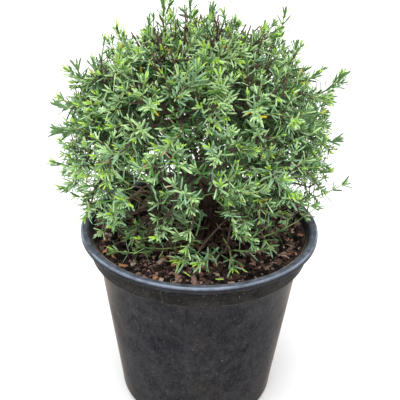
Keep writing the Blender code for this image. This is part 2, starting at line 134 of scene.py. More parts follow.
# Trunk, as in the CAD; each radius goes with a share of its height
GAP = 0.0003
TRUNK_FOOT = Vector((0.007, -0.008, MIX_HEIGHT + GAP))
TRUNK_TOP = Vector((0, 0.001, 0.27))
TRUNK_BEND = Vector((0.002, 0, 0))
TRUNK_RADII = ((0, 0.0098), (0.05, 0.0082), (0.14, 0.007), (0.45, 0.0062), (0.75, 0.0055), (1, 0.0051))
TRUNK_RINGS = 41
TRUNK_SIDES = 28
TRUNK_RIDGES = 5
BOUGH_RINGS = 22
BOUGH_SIDES = 10

# Crown, as in the CAD; a tier has its name, masses, first azimuth, elevation and the height of its fork
CROWN_CENTRE = Vector((-0.004, 0, 0.285))
CROWN_RADIUS = 0.141
CROWN_UP = 0.139
CROWN_DOWN = 0.1
CROWN_ROUNDNESS = 2.3
TIERS = (
    ("low", 6, -120, -24, 0.215),
    ("middle", 7, -90, 9, 0.233),
    ("upper", 6, -105, 39, 0.253),
    ("top", 3, 90, 70, 0.27),
)
AZIMUTH_JITTER = 6
ELEVATION_JITTER = 3
MASS_SEED = 7
BOUGH_RADII = (0.0022, 0.0015)
BOUGH_TIP_SHARE = 0.45
TOP_BOUGH_OFFSET = 0.0027
MASS_CENTRE_SHARE = 0.7

# Shoots that stand out of the clipped dome: azimuth, elevation and reach as a share of the dome.
# Some stand where the photo has them, a few degrees from where the CAD does.
LONG_SHOOTS = (
    (120, 61, 1.12), (98, 64, 1.12), (80, 63, 1.08), (36, 51, 1.19), (28, 42, 1.06), (13, 27, 1.19),
    (3, 7, 1.04), (146, 48, 1.07), (163, 31, 1.08), (176, 8, 1.06), (-178, -4, 1.06), (-172, -13, 1.03),
    (-177, 35, 1.05), (-173, 23, 1.04), (62, 22, 1.08), (92, -4, 1.06), (122, 12, 1.08), (74, -20, 1.05),
    (-90, 50, 1.04), (-60, 12, 1.04), (-120, 20, 1.05),
)

# Laid after the photo, in millimetres: the foot and tip of each low sprig at the front, the foot and radius
# of each gap that shows the trunk, the mix or the sky, and the leaves that lie on the mix
LOW_SPRIGS = (
    (-83, -22, 222, -118, -13, 236), (-72, -25, 226, -95, -4, 246), (-83, -37, 216, -94, -29, 222),
    (-18, -68, 226, -57, -59, 236), (-34, -65, 220, -66, -63, 226), (-45, -73, 216, -80, -73, 215),
    (-28, -35, 236, -45, -27, 246), (-8, -65, 232, -27, -30, 250), (3, -17, 232, -4, -51, 254),
    (-3, -67, 230, 1, -55, 242), (14, -73, 216, 0, -105, 224), (-8, -73, 218, -19, -88, 216),
    (29, -71, 220, 23, -73, 232), (29, -71, 220, 32, -96, 214), (33, -75, 220, 61, -81, 226),
    (100, -4, 238, 151, 11, 252), (96, -7, 236, 124, 12, 246), (62, -52, 222, 122, -5, 232),
    (74, -17, 236, 90, -7, 246), (-3, -51, 232, -41, -40, 236), (1, -69, 226, -18, -78, 234),
    (-9, -71, 222, -54, -73, 220), (1, -73, 218, -14, -94, 218), (31, -64, 228, 44, -63, 240),
    (45, -66, 226, 64, -57, 236), (39, -56, 236, 74, -45, 244), (-48, -54, 226, -75, -54, 232),
)
FRONT_GAPS = (((9, -14, 235), 9), ((21, -6, 203.5), 12), ((-74, 74, 203.5), 11), ((105, 5, 203.5), 10))
FALLEN_LEAVES = ((-66, -89), (-7, -101), (15, -104), (46, -92))

# Finer growth: branches from each stem, shoots from each branch, whorls of leaves on each shoot.
# Shares are of the way from the crown's centre to the dome.
GROWTH_SEED = 23
BRANCHES_PER_MASS = 10
BRANCH_POINTS = 7
BRANCH_OUTER_SHARE = 0.86
WIDEST_BRANCH = 70
SHORTEST_BRANCH = 0.01
LONGEST_BRANCH = 0.1
BRANCH_STEP = 0.003
SHOOT_POINTS = 8
SHORTEST_SHOOT = 0.012
BEST_SHOOT = 0.035
SHELL_SHOOTS = 72
SHELL_SHARES = {"low": (0.8, 0.95), "middle": (0.8, 0.94), "upper": (0.76, 0.91), "top": (0.74, 0.89)}
FREE_SHOOTS = {"low": 2, "middle": 4, "upper": 9, "top": 15}
FREE_SHARES = (0.91, 1)
FREE_UPWARD = 0.75
FILL_SHOOTS = 30
FILL_SHARES = (0.5, 0.78)
LOW_MASS_SHARE = 0.85
INNER_SHOOTS = 16
INNER_SHARES = (0.34, 0.62)
PLACE_TRIES = 8
PLACE_SPREAD = 0.85
INNER_SPREAD = 0.75
LEAFY_LENGTH = 0.042
FIRST_WHORL = 0.0036
SOIL_CLEARANCE = 0.003
RIM_CLEARANCE = 0.002
GOLDEN_ANGLE = 137.5
ANY_PHASE = 6.28

# A long shoot: the share of the dome that its tuft adds, how much it turns up above and below STEEP_LONG
# degrees, and the scale of its leaves
LONG_TUFT_SHARE = 0.05
STEEP_LONG = 40
STEEP_UPWARD = 1.6
LEVEL_UPWARD = 0.9
LONG_SCALE = 1.3

# Sprigs: low ones in a fan at the back, besides those laid at the front, and short ones on the shoots
BACK_SPRIGS = 9
BACK_FIRST = 15
BACK_SPAN = 150
LOW_SPRIG_POINTS = 8
LOW_SPRIG_SCALE = 1.22
SIDE_SPRIG_CHANCE = 0.28
SIDE_SPRIG_LENGTHS = (0.009, 0.017)

# Heights over the rim, each with the share of the shoots kept below it: few hang just above the pot
LOW_KEPT = ((0.02, 0.05), (0.05, 0.18), (0.075, 0.52))

# Twig radii at the foot and at the tip; for shoots, the radius of a plain and of a bright one
STEM_RADII = (0.0015, 0.00132)
BRANCH_RADII = (0.00125, 0.0007)
BARE_SPRIG_RADII = (0.0012, 0.0009)
LEAFY_SPRIG_RADII = (0.0009, 0.0005)
SIDE_SPRIG_RADII = (0.0006, 0.00045)
SHOOT_RADII = (0.00075, 0.00085)

# Stubs that the shears left, and thin bare twigs: how many, elevations, shares of the dome and radius
CUT_STUBS = (64, (42, 85), (0.91, 0.985), 0.0007)
BARE_TWIGS = (130, (-12, 80), (0.86, 0.97), 0.0004)
BARE_LENGTHS = (0.016, 0.028)

# How a shoot holds its leaves: lean of the first whorl, degrees more for each whorl, leaves in the tuft, the
# tuft's share of a leaf's length, spacing of the whorls
OPEN_HABIT = (52, 22, 4, 0.66, 0.009)
UPRIGHT_HABIT = (36, 14, 5, 0.82, 0.0086)
LOW_HABIT = (46, 14, 5, 0.76, 0.01)
LONG_HABIT = (34, 9, 6, 0.88, 0.0064)

# Leaves; a station has its share of the length, of the width and of the thickness
WHORL_COUNTS = (3, 4, 4)
WHORL_TURN = math.pi / 4
LEAF_LENGTH = 0.0112
LEAF_WIDTH = 0.0018
LEAF_THICKNESS = 0.0006
LEAF_STATIONS = ((0, 0, 0), (0.17, 0.84, 0.9), (0.79, 0.98, 1), (1, 0, 0))
MOST_LEAVES_A_PIECE = 15500
MOST_LEAN = 88
BUD_CHANCE = 0.14
BUD_SCALE = 0.45
OWN_SHADE_CHANCE = 0.25
YELLOW_CHANCE = 0.0035
DRY_CHANCE = 0.008

# Shares of the dome: a spray over BRIGHT_SHARE may be bright, one under SHADED_SHARE gets darker greens as
# painted shade, and a whorl over OUTER_WHORL_SHARE is an outer one
BRIGHT_CHANCES = {"low": 0.34, "middle": 0.3, "upper": 0.45, "top": 0.5}
BRIGHT_SHARE = 0.84
SHADED_SHARE = 0.8
OUTER_WHORL_SHARE = 0.74

# Shades of the leaves, by material slot; the darkest is painted shade inside the crown, and the grey and
# light greens, real leaf colours, also serve as painted light on the outside and top
LEAF_SHADES = {
    "leaf_underside": (0.15, 0.262, 0.112),
    "leaf_shadowed": (0.02, 0.064, 0.007),
    "leaf_mid": (0.09, 0.24, 0.052),
    "leaf_grey": (0.28, 0.48, 0.265),
    "leaf_light": (0.45, 0.66, 0.3),
    "leaf_young": (0.43, 0.67, 0.09),
    "leaf_yellow": (0.6, 0.46, 0.03),
    "leaf_dry": (0.56, 0.42, 0.27),
}
UNDERSIDE, SHADOWED, MID, GREY, LIGHT, YOUNG, YELLOW, DRY = range(8)
BROWN_TWIG, GREEN_TWIG, CUT_TWIG = range(3)

# A spray's shades, each with its chance up to LIT_FOOT over the rim and its chance from LIT_TOP over it: the
# lighter greens gain towards the top as painted light
INSIDE_SHADES = ((SHADOWED, 0.7, 0.3), (MID, 0.27, 0.4), (GREY, 0.03, 0.3))
BRIGHT_SHADES = ((MID, 0.18, 0), (GREY, 0.64, 0.34), (LIGHT, 0.18, 0.66))
OUTER_SHADES = ((SHADOWED, 0.12, 0.05), (MID, 0.38, 0.05), (GREY, 0.42, 0.4), (LIGHT, 0.08, 0.5))
LIT_FOOT = 0.1
LIT_TOP = 0.18


def link(obj):
    bpy.context.scene.collection.objects.link(obj)
    return obj


def fill(node, values):
    """Set a node's inputs by name or number."""
    for key, value in values.items():
        node.inputs[key].default_value = value


def new_material(name):
    """A material with its node tree and its shader."""
    material = bpy.data.materials.new(name)
    material.use_nodes = True
    return material, material.node_tree, material.node_tree.nodes["Principled BSDF"]


def plain_material(name, colour, roughness, specular):
    material, _, shader = new_material(name)
    fill(shader, {"Base Color": (*colour, 1.0), "Roughness": roughness, "Specular IOR Level": specular})
    return material


class NodeBuilder:
    """Short helpers for building a material from nodes."""

    def __init__(self, name):
        self.material, self.tree, self.shader = new_material(name)
        self.place = self.node("ShaderNodeTexCoord", {}, {}).outputs["Object"]

    def node(self, kind, values, links, **settings):
        """A node with values and links by input, and its other settings."""
        made = self.tree.nodes.new(kind)
        for key, value in settings.items():
            setattr(made, key, value)
        fill(made, values)
        for key, output in links.items():
            self.tree.links.new(output, made.inputs[key])
        return made

    def feed(self, key, output):
        """Link an output to one of the shader's inputs."""
        self.tree.links.new(output, self.shader.inputs[key])

    def noise(self, scale, detail=4.0, roughness=0.6, stretch=None):
        place = self.place
        if stretch is not None:
            place = self.node("ShaderNodeMapping", {"Scale": stretch}, {"Vector": place}).outputs["Vector"]
        values = {"Scale": scale, "Detail": detail, "Roughness": roughness}
        return self.node("ShaderNodeTexNoise", values, {"Vector": place}).outputs["Fac"]

    def ramp(self, value, stops):
        made = self.node("ShaderNodeValToRGB", {}, {"Fac": value})
        ramp = made.color_ramp
        while len(ramp.elements) < len(stops):
            ramp.elements.new(0.5)
        for element, (position, colour) in zip(ramp.elements, stops):
            element.position = position
            element.color = (*colour, 1.0)
        return made.outputs["Color"]

    def blotches(self, scale, detail, roughness, low, dark, high, light):
        """Two shades dealt out by noise."""
        return self.ramp(self.noise(scale, detail, roughness), [(low, dark), (high, light)])

    def mix(self, factor, first, second):
        return self.node("ShaderNodeMix", {}, {0: factor, 6: first, 7: second}, data_type="RGBA").outputs[2]

    def spread(self, value, low, high, to_low=0.0, to_high=1.0):
        values = {"From Min": low, "From Max": high, "To Min": to_low, "To Max": to_high}
        return self.node("ShaderNodeMapRange", values, {"Value": value}).outputs["Result"]

    def plain(self, colour):
        made = self.node("ShaderNodeRGB", {}, {})
        made.outputs[0].default_value = (*colour, 1.0)
        return made.outputs[0]

    def times(self, first, second):
        return self.node("ShaderNodeMath", {}, {0: first, 1: second}, operation="MULTIPLY").outputs[0]

    def band(self, value, middle, half):
        """One at the middle of a band, fading to nothing at its edges."""
        rising = self.spread(value, middle - half, middle)
        falling = self.spread(value, middle + half, middle)
        return self.times(rising, falling)

    def bump(self, height, strength, distance):
        values = {"Strength": strength, "Distance": distance}
        self.feed("Normal", self.node("ShaderNodeBump", values, {"Height": height}).outputs["Normal"])


def pot_material():
    """Charcoal plastic with warm dust and specks, a darker collar with a painted shadow under the lip, and a
    bluish, mottled lip whose top is dust with a painted reflection and whose outer edge has a painted
    highlight.
    """
    build = NodeBuilder("pot_plastic")
    lip_foot = POT_HEIGHT - LIP_HEIGHT
    height = build.node("ShaderNodeSeparateXYZ", {}, {0: build.place}).outputs["Z"]
    flat = build.node("ShaderNodeVectorMath", {1: (1.0, 1.0, 0.0)}, {0: build.place}, operation="MULTIPLY")
    away = build.node("ShaderNodeVectorMath", {}, {0: flat.outputs[0]}, operation="LENGTH").outputs["Value"]
    smears = build.spread(build.noise(34.0, 9.0, 0.85, stretch=(1.0, 1.0, 0.35)), 0.48, 0.72)
    on_collar = build.spread(height, COLLAR_FOOT_HEIGHT - 0.0004, COLLAR_FOOT_HEIGHT + 0.001)
    # Painted shadow, deepest right under the overhanging lip
    lip_shadow = build.spread(height, COLLAR_FOOT_HEIGHT + 0.006, lip_foot, 0.0, 0.65)
    collar_line = build.band(height, COLLAR_FOOT_HEIGHT + 0.0005, 0.0007)
    on_lip = build.spread(height, lip_foot + 0.0004, lip_foot + 0.0012)
    lip_line = build.band(height, lip_foot + 0.0004, 0.0006)
    # The lip's top, where the colour is dust with a painted reflection
    on_top = build.spread(height, POT_HEIGHT - 0.0022, POT_HEIGHT - 0.0014)
    # Painted highlight along the lip's rounded outer edge
    edge_highlight = build.times(build.band(away, LIP_RADIUS - 0.0011, 0.0012), on_top)
    grit = build.spread(build.noise(260.0, 5.0, 0.75), 0.54, 0.74, 0.0, 0.6)
    specks = build.spread(build.noise(620.0, 2.0, 0.5), 0.675, 0.73, 0.0, 0.9)
    shades = {name: build.blotches(*values) for name, values in PLASTIC.items()}
    shades["lip_shadow"] = build.plain(UNDER_LIP_SHADOW)
    colour = shades["body"]
    for factor, name in (
        (smears, "dust"), (on_collar, "collar"), (lip_shadow, "lip_shadow"), (collar_line, "collar_line"),
        (on_lip, "lip_side"), (lip_line, "lip_line"), (on_top, "lip_top_dust_and_reflection"), (edge_highlight, "lip_edge_highlight"),
        (grit, "grit"), (specks, "specks"),
    ):
        colour = build.mix(factor, colour, shades[name])
    build.feed("Base Color", colour)
    build.feed("Roughness", build.spread(build.noise(34.0, 5.0), 0.3, 0.7, 0.46, 0.62))
    fill(build.shader, {
        "Specular IOR Level": 0.06, "Sheen Weight": 0.4, "Sheen Roughness": 0.2,
        "Sheen Tint": (1.0, 0.8, 0.64, 1.0),
    })
    build.bump(build.noise(900.0, 3.0), 0.12, 0.0004)
    return build.material


def bark_material(name, dark, light):
    build = NodeBuilder(name)
    grain = build.noise(260.0, 6.0, 0.7, stretch=(1.0, 1.0, 0.25))
    build.feed("Base Color", build.ramp(grain, [(0.35, dark), (0.68, light)]))
    fill(build.shader, {"Roughness": 0.9})
    build.bump(grain, 0.6, 0.0008)
    return build.material


def mix_material():
    build = NodeBuilder("mix_crumbs")
    colour = build.ramp(
        build.noise(330.0, 6.0, 0.75),
        [(0.34, (0.004, 0.0025, 0.0022)), (0.53, (0.042, 0.024, 0.018)), (0.7, (0.22, 0.13, 0.1))],
    )
    build.feed("Base Color", colour)
    fill(build.shader, {"Roughness": 0.95})
    build.bump(build.noise(480.0, 5.0, 0.7), 0.9, 0.002)
    return build.material


def solid_mesh(name, points, polygons, materials, slots=None, smooth=False):
    """A mesh from arrays: points, then polygons as one flat corner list with each polygon's size."""
    corners, sizes = polygons
    mesh = bpy.data.meshes.new(name)
    mesh.vertices.add(len(points))
    mesh.vertices.foreach_set("co", np.ravel(points).astype(np.float32))
    mesh.loops.add(len(corners))
    mesh.loops.foreach_set("vertex_index", np.asarray(corners, np.int32))
    mesh.polygons.add(len(sizes))
    starts = np.concatenate([[0], np.cumsum(sizes)[:-1]]).astype(np.int32)
    mesh.polygons.foreach_set("loop_start", starts)
    for material in materials:
        mesh.materials.append(material)
    if slots is not None:
        mesh.polygons.foreach_set("material_index", np.asarray(slots, np.int32))
    mesh.polygons.foreach_set("use_smooth", np.full(len(sizes), smooth, dtype=bool))
    mesh.update(calc_edges=True)
    return link(bpy.data.objects.new(name, mesh))


def list_mesh(name, points, faces, materials, slots=None, smooth=False):
    points = np.array([tuple(point) for point in points])
    polygons = (np.concatenate(faces), [len(face) for face in faces])
    return solid_mesh(name, points, polygons, materials, slots, smooth)


def ring_faces(low, high, count):
    """Quads between two rings, by the number of each ring's first point."""
    faces = []
    for step in range(count):
        after = (step + 1) % count
        faces.append((low + step, low + after, high + after, high + step))
    return faces


def lathe(profile, segments):
    """Points and faces of a turned shape. A radius of zero gives one point on the axis."""
    points = []
    rings = []
    for radius, height in profile:
        count = segments if radius > 0.0 else 1
        rings.append((len(points), count))
        for step in range(count):
            angle = 2 * math.pi * step / segments
            points.append((radius * math.cos(angle), radius * math.sin(angle), height))
    faces = []
    for (low, low_count), (high, high_count) in zip(rings, rings[1:]):
        quads = ring_faces(low, high, segments)
        if low_count == 1:
            faces += [(low, *quad[2:]) for quad in quads]
        elif high_count == 1:
            faces += [(*quad[:2], high) for quad in quads]
        else:
            faces += quads
    return points, faces


def arc(centre, radius, first, last, steps):
    """Points of a round corner in the profile's plane, angles in degrees."""
    points = []
    for step in range(steps + 1):
        angle = math.radians(first + (last - first) * step / steps)
        points.append((centre[0] + radius * math.cos(angle), centre[1] + radius * math.sin(angle)))
    return points


def pot_profile():
    lip_foot = POT_HEIGHT - LIP_HEIGHT
    corner = 0.0016
    edge = 0.0009
    return [
        (0.0, 0.0),
        *arc((BASE_RADIUS - 0.001, 0.001), 0.001, -90, 0, 3),
        (BASE_RADIUS, BASE_HEIGHT),
        *arc((FOOT_RADIUS, BASE_HEIGHT + 0.0012), 0.0012, -90, -10, 4),
        (FOOT_BEND_RADIUS, FOOT_BEND_HEIGHT),
        (BODY_TOP_RADIUS - 0.0056, BODY_TOP_HEIGHT - 0.05),
        (BODY_TOP_RADIUS, BODY_TOP_HEIGHT - 0.001),
        (BODY_TOP_RADIUS + 0.0008, BODY_TOP_HEIGHT),
        (COLLAR_RADIUS - 0.0014, COLLAR_FOOT_HEIGHT - 0.0002),
        *arc((COLLAR_RADIUS - edge, COLLAR_FOOT_HEIGHT + edge), edge, -60, 0, 3),
        (COLLAR_RADIUS, lip_foot - 0.001),
        (COLLAR_RADIUS + 0.0008, lip_foot),
        *arc((LIP_RADIUS - edge, lip_foot + edge), edge, -90, 0, 4),
        *arc((LIP_RADIUS - corner, POT_HEIGHT - corner), corner, 0, 90, 5),
        *arc((LIP_INNER_RADIUS + corner, POT_HEIGHT - corner), corner, 90, 150, 4),
        (COLLAR_INNER_RADIUS + 0.0014, POT_HEIGHT - 0.0034),
        (COLLAR_INNER_RADIUS, POT_HEIGHT - 0.006),
        (COLLAR_INNER_RADIUS - 0.0004, COLLAR_FOOT_HEIGHT + 0.003),
        (BODY_TOP_RADIUS - WALL, BODY_TOP_HEIGHT - 0.001),
        (FOOT_BEND_RADIUS - WALL, FOOT_BEND_HEIGHT),
        (FOOT_RADIUS - WALL, BASE_HEIGHT + FLOOR_THICKNESS),
        (BASE_RADIUS - WALL, BASE_HEIGHT + FLOOR_THICKNESS),
        (BASE_RADIUS - WALL, FLOOR_THICKNESS),
        (0.0, FLOOR_THICKNESS),
    ]


def notch_cutter():
    arch_steps = 14
    half = NOTCH_WIDTH / 2
    spring = NOTCH_HEIGHT * 0.35
    outline = [(-half, -0.004), (half, -0.004)]
    for step in range(arch_steps + 1):
        angle = math.pi * step / arch_steps
        outline.append((half * math.cos(angle), spring + (NOTCH_HEIGHT - spring) * math.sin(angle)))
    points = []
    faces = []
    count = len(outline)
    for notch in range(DRAIN_NOTCHES):
        turn = 2 * math.pi * notch / DRAIN_NOTCHES
        out = Vector((math.cos(turn), math.sin(turn), 0.0))
        side = Vector((-math.sin(turn), math.cos(turn), 0.0))
        first = len(points)
        for radius in NOTCH_RADII:
            points += [out * radius + side * across + UP * height for across, height in outline]
        faces.append(tuple(reversed(range(first, first + count))))
        faces.append(tuple(range(first + count, first + 2 * count)))
        faces += ring_faces(first, first + count, count)
    return list_mesh("notch_cutter", points, faces, [])


def face_outward(mesh):
    shape = bmesh.new()
    shape.from_mesh(mesh)
    bmesh.ops.recalc_face_normals(shape, faces=shape.faces)
    shape.to_mesh(mesh)
    shape.free()


def build_pot():
    points, faces = lathe(pot_profile(), POT_SEGMENTS)
    pot = list_mesh("pot_shell", points, faces, [pot_material()])
    face_outward(pot.data)
    cutter = notch_cutter()
    face_outward(cutter.data)
    modifier = pot.modifiers.new("drain_notches", "BOOLEAN")
    modifier.operation = "DIFFERENCE"
    modifier.solver = "EXACT"
    modifier.object = cutter
    graph = bpy.context.evaluated_depsgraph_get()
    result = bpy.data.meshes.new_from_object(pot.evaluated_get(graph))
    pot.modifiers.clear()
    pot.data = result
    bpy.data.objects.remove(cutter, do_unlink=True)
    pot.data.shade_smooth()
    pot.data.set_sharp_from_angle(angle=math.radians(38))
    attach(pot, "root")
    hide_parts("pot")


def mix_height(x, y):
    """The CAD's gentle lumps."""
    radius = np.hypot(x, y)
    lumps = np.sin(61 * x + 1.3) * np.cos(73 * y - 0.4) + 0.6 * np.sin(127 * y + 97 * x)
    fade = np.clip((radius - 0.015) / 0.015, 0.0, 1.0)
    return MIX_HEIGHT + 0.0016 * 0.6 * lumps * fade


def build_mix():
    """A crumbly surface down to the floor of the pot, and loose chips on it."""
    rng = np.random.default_rng(MIX_SEED)
    inset = WALL + MIX_PLAY
    floor = FLOOR_THICKNESS + MIX_PLAY
    profile = [
        (0.0, floor),
        (BASE_RADIUS - inset, floor),
        (BASE_RADIUS - inset, BASE_HEIGHT + floor),
        (FOOT_RADIUS - inset, BASE_HEIGHT + floor),
        (FOOT_BEND_RADIUS - inset, FOOT_BEND_HEIGHT + MIX_PLAY),
        (BODY_TOP_RADIUS - WALL - 0.0005, BODY_TOP_HEIGHT - 0.0006),
        (MIX_RADIUS - 0.0006, COLLAR_FOOT_HEIGHT + 0.0034),
    ]
    side_points = 1 + (len(profile) - 1) * MIX_SEGMENTS
    profile += [(MIX_RADIUS * (1 - ring / MIX_RINGS), MIX_HEIGHT) for ring in range(MIX_RINGS + 1)]
    points, faces = lathe(profile, MIX_SEGMENTS)
    points = np.array(points)
    top = points[side_points:-1]
    crumbs = rng.normal(0, 1, len(top)) * CRUMB_HEIGHT
    top[:, 2] = mix_height(top[:, 0], top[:, 1]) + np.clip(crumbs, -0.0014, 0.0014) - CRUMB_HEIGHT
    mix = list_mesh("mix_surface", points, faces, [mix_material()])
    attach(mix, "root")
    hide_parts("potting_mix")
    build_chips(rng)


def build_chips(rng):
    """Flat splinters of bark, each an uneven eight-cornered block with its own shade."""
    materials = [plain_material(name, colour, 0.9, 0.25) for name, (colour, _) in CHIP_KINDS.items()]
    chances = [chance for _, chance in CHIP_KINDS.values()]
    radius = (MIX_RADIUS - 0.0035) * np.sqrt(rng.random(CHIP_COUNT))
    angle = rng.random(CHIP_COUNT) * 2 * math.pi
    x, y = radius * np.cos(angle), radius * np.sin(angle)
    length = np.exp(rng.normal(math.log(CHIP_LENGTH), 0.42, CHIP_COUNT)).clip(*CHIP_LIMITS)
    width = length * rng.uniform(0.28, 0.75, CHIP_COUNT)
    height = np.minimum(width, 0.004) * rng.uniform(0.25, 0.6, CHIP_COUNT)
    z = mix_height(x, y) + rng.uniform(-0.0008, 0.0016, CHIP_COUNT)
    turn = rng.random(CHIP_COUNT) * 2 * math.pi
    tilt = rng.normal(0, 0.38, CHIP_COUNT)
    roll = rng.normal(0, 0.45, CHIP_COUNT)
    along = np.stack([np.cos(turn) * np.cos(tilt), np.sin(turn) * np.cos(tilt), np.sin(tilt)], 1)
    flat = np.stack([-np.sin(turn), np.cos(turn), np.zeros(CHIP_COUNT)], 1)
    normal = np.cross(along, flat)
    across = flat * np.cos(roll)[:, None] + normal * np.sin(roll)[:, None]
    up = np.cross(along, across)
    square = ((-1, -1), (1, -1), (1, 1), (-1, 1))
    corners = np.array([(*corner, level) for level in (-1, 1) for corner in square])
    wobble = rng.uniform(0.55, 1.15, (CHIP_COUNT, 8, 3))
    local = corners * wobble / 2
    axes = np.stack([along * length[:, None], across * width[:, None], up * height[:, None]], 1)
    points = np.stack([x, y, z], 1)[:, None] + local @ axes
    inside = np.hypot(points[..., 0], points[..., 1]).max(1) < MIX_RADIUS - 0.0004
    near_trunk = np.hypot(x - TRUNK_FOOT.x, y - TRUNK_FOOT.y) < 0.011
    points = points[inside & ~near_trunk]
    count = len(points)
    quads = np.array([(0, 3, 2, 1), (4, 5, 6, 7), (0, 1, 5, 4), (1, 2, 6, 5), (2, 3, 7, 6), (3, 0, 4, 7)])
    faces = quads + 8 * np.arange(count)[:, None, None]
    shades = np.repeat(rng.choice(len(chances), count, p=chances), len(quads))
    polygons = (faces.ravel(), np.full(count * len(quads), 4))
    chips = solid_mesh("mix_chips", points.reshape(-1, 3), polygons, materials, shades)
    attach(chips, "root")


def side_axes(direction):
    helper = UP if abs(direction.z) < 0.9 else Vector((1.0, 0.0, 0.0))
    across = direction.cross(helper).normalized()
    return across, direction.cross(across).normalized()


def metres(place):
    """A place given in millimetres."""
    return Vector([value / 1000 for value in place])


def square_to(vector, axis):
    """The part of a vector that stands at right angles to an axis, one long."""
    return (vector - axis * vector.dot(axis)).normalized()


def random_vector(rng):
    return Vector((rng.gauss(0, 1), rng.gauss(0, 1), rng.gauss(0, 1)))


def taper(radii, count):
    """Even steps from the radius at the foot to the one at the tip."""
    foot, tip = radii
    return [foot + (tip - foot) * step / (count - 1) for step in range(count)]


def tilted(direction, angle, turn):
    across, lift = side_axes(direction)
    lean = across * math.cos(turn) + lift * math.sin(turn)
    return (direction * math.cos(angle) + lean * math.sin(angle)).normalized()


class TubeSet:
    """Many closed tapering tubes, gathered into one mesh."""

    def __init__(self):
        self.points = []
        self.faces = []
        self.slots = []

    def add(self, path, radii, sides, slot, relief=None, first_normal=None):
        """relief takes the share along and the angle, and gives a factor for the radius."""
        base = len(self.points)
        last = len(path) - 1
        across = None
        for index, (centre, radius) in enumerate(zip(path, radii)):
            along = (path[min(index + 1, last)] - path[max(index - 1, 0)]).normalized()
            if index == 0 and first_normal is not None:
                along = first_normal
            if across is None:
                across, lift = side_axes(along)
            else:
                across = square_to(across, along)
                lift = along.cross(across).normalized()
            for step in range(sides):
                angle = 2 * math.pi * step / sides
                wide = radius * (relief(index / last, angle) if relief else 1.0)
                self.points.append(centre + (across * math.cos(angle) + lift * math.sin(angle)) * wide)
        top = base + last * sides
        self.faces.append(tuple(reversed(range(base, base + sides))))
        self.faces.append(tuple(range(top, top + sides)))
        for low in range(base, top, sides):
            self.faces += ring_faces(low, low + sides, sides)
        self.slots += [slot] * (2 + last * sides)

    def build(self, name, materials):
        return list_mesh(name, self.points, self.faces, materials, self.slots, smooth=True)


def curve_path(start, control, end, count):
    path = []
    for step in range(count):
        t = step / (count - 1)
        path.append(start * (1 - t) ** 2 + control * 2 * t * (1 - t) + end * t ** 2)
    return path


def direction_of(azimuth, elevation):
    turn = math.radians(azimuth)
    rise = math.radians(elevation)
    return Vector((math.cos(rise) * math.cos(turn), math.cos(rise) * math.sin(turn), math.sin(rise)))


def dome_radius(direction):
    flat = math.hypot(direction.x, direction.y)
    height = CROWN_UP if direction.z > 0 else CROWN_DOWN
    power = CROWN_ROUNDNESS
    return ((flat / CROWN_RADIUS) ** power + (abs(direction.z) / height) ** power) ** (-1 / power)


def dome_point(way, share):
    """The point at a share of the way from the crown's centre to the dome."""
    return CROWN_CENTRE + way * dome_radius(way) * share


def dome_share(point):
    offset = point - CROWN_CENTRE
    distance = offset.length
    return distance / dome_radius(offset / distance) if distance > 1e-9 else 0.0


def trunk_point(share):
    return TRUNK_FOOT.lerp(TRUNK_TOP, share) + TRUNK_BEND * math.sin(math.pi * share)


def trunk_radius(share):
    for (low, wide), (high, narrow) in zip(TRUNK_RADII, TRUNK_RADII[1:]):
        if share <= high:
            return wide + (narrow - wide) * (share - low) / (high - low)


class Mass:
    """One mass of foliage, with the same space and bough as in the CAD."""

    def __init__(self, number, tier, azimuth, elevation, fork_height):
        self.number = number
        self.tier = tier
        self.direction = direction_of(azimuth, elevation)
        self.fork_height = fork_height
        self.outward = Vector((self.direction.x, self.direction.y, 0.0)).normalized()
        self.centre = dome_point(self.direction, MASS_CENTRE_SHARE)
        self.bough_tip = dome_point(self.direction, BOUGH_TIP_SHARE)

    def find_borders(self, masses):
        self.planes = []
        for other in masses:
            if other is not self:
                normal = (other.centre - self.centre).normalized()
                self.planes.append((normal, normal.dot((self.centre + other.centre) / 2)))

    def holds(self, point, outer_share, slack=0.0):
        if dome_share(point) > outer_share or not clear_of_pot(point):
            return False
        return all(normal.dot(point) <= limit + slack for normal, limit in self.planes)

    def bough_curve(self):
        share = (self.fork_height - TRUNK_FOOT.z) / (TRUNK_TOP.z - TRUNK_FOOT.z)
        axis = trunk_point(share)
        if self.tier == "top":
            start = axis + self.outward * TOP_BOUGH_OFFSET + UP * GAP
            return start, start + UP * 0.03 + self.outward * 0.004, UP
        start = axis + self.outward * (trunk_radius(share) + 2 * GAP)
        away = self.bough_tip - start
        level = math.hypot(away.x, away.y)
        return start, start + self.outward * level * 0.45 + UP * away.z * 0.3, self.outward


def clear_of_pot(point):
    if point.z < MIX_HEIGHT + SOIL_CLEARANCE:
        return False
    from_axis = math.hypot(point.x, point.y)
    return not (point.z < POT_HEIGHT + RIM_CLEARANCE and from_axis > COLLAR_INNER_RADIUS - RIM_CLEARANCE)


# Each gap as its foot, its way towards the front and its radius
GAP_TUNNELS = [
    (metres(foot), (Vector(CAMERA_PLACE) - metres(foot)).normalized(), radius / 1000)
    for foot, radius in FRONT_GAPS
]


def plan_masses():
    """The CAD's rule for the masses, with the same seed."""
    rng = random.Random(MASS_SEED)
    masses = []
    for tier, count, first_azimuth, elevation, fork_height in TIERS:
        for index in range(count):
            azimuth = first_azimuth + 360.0 * index / count + rng.uniform(-AZIMUTH_JITTER, AZIMUTH_JITTER)
            tilt = elevation + rng.uniform(-ELEVATION_JITTER, ELEVATION_JITTER)
            masses.append(Mass(len(masses) + 1, tier, azimuth, tilt, fork_height))
    for mass in masses:
        mass.find_borders(masses)
    return masses


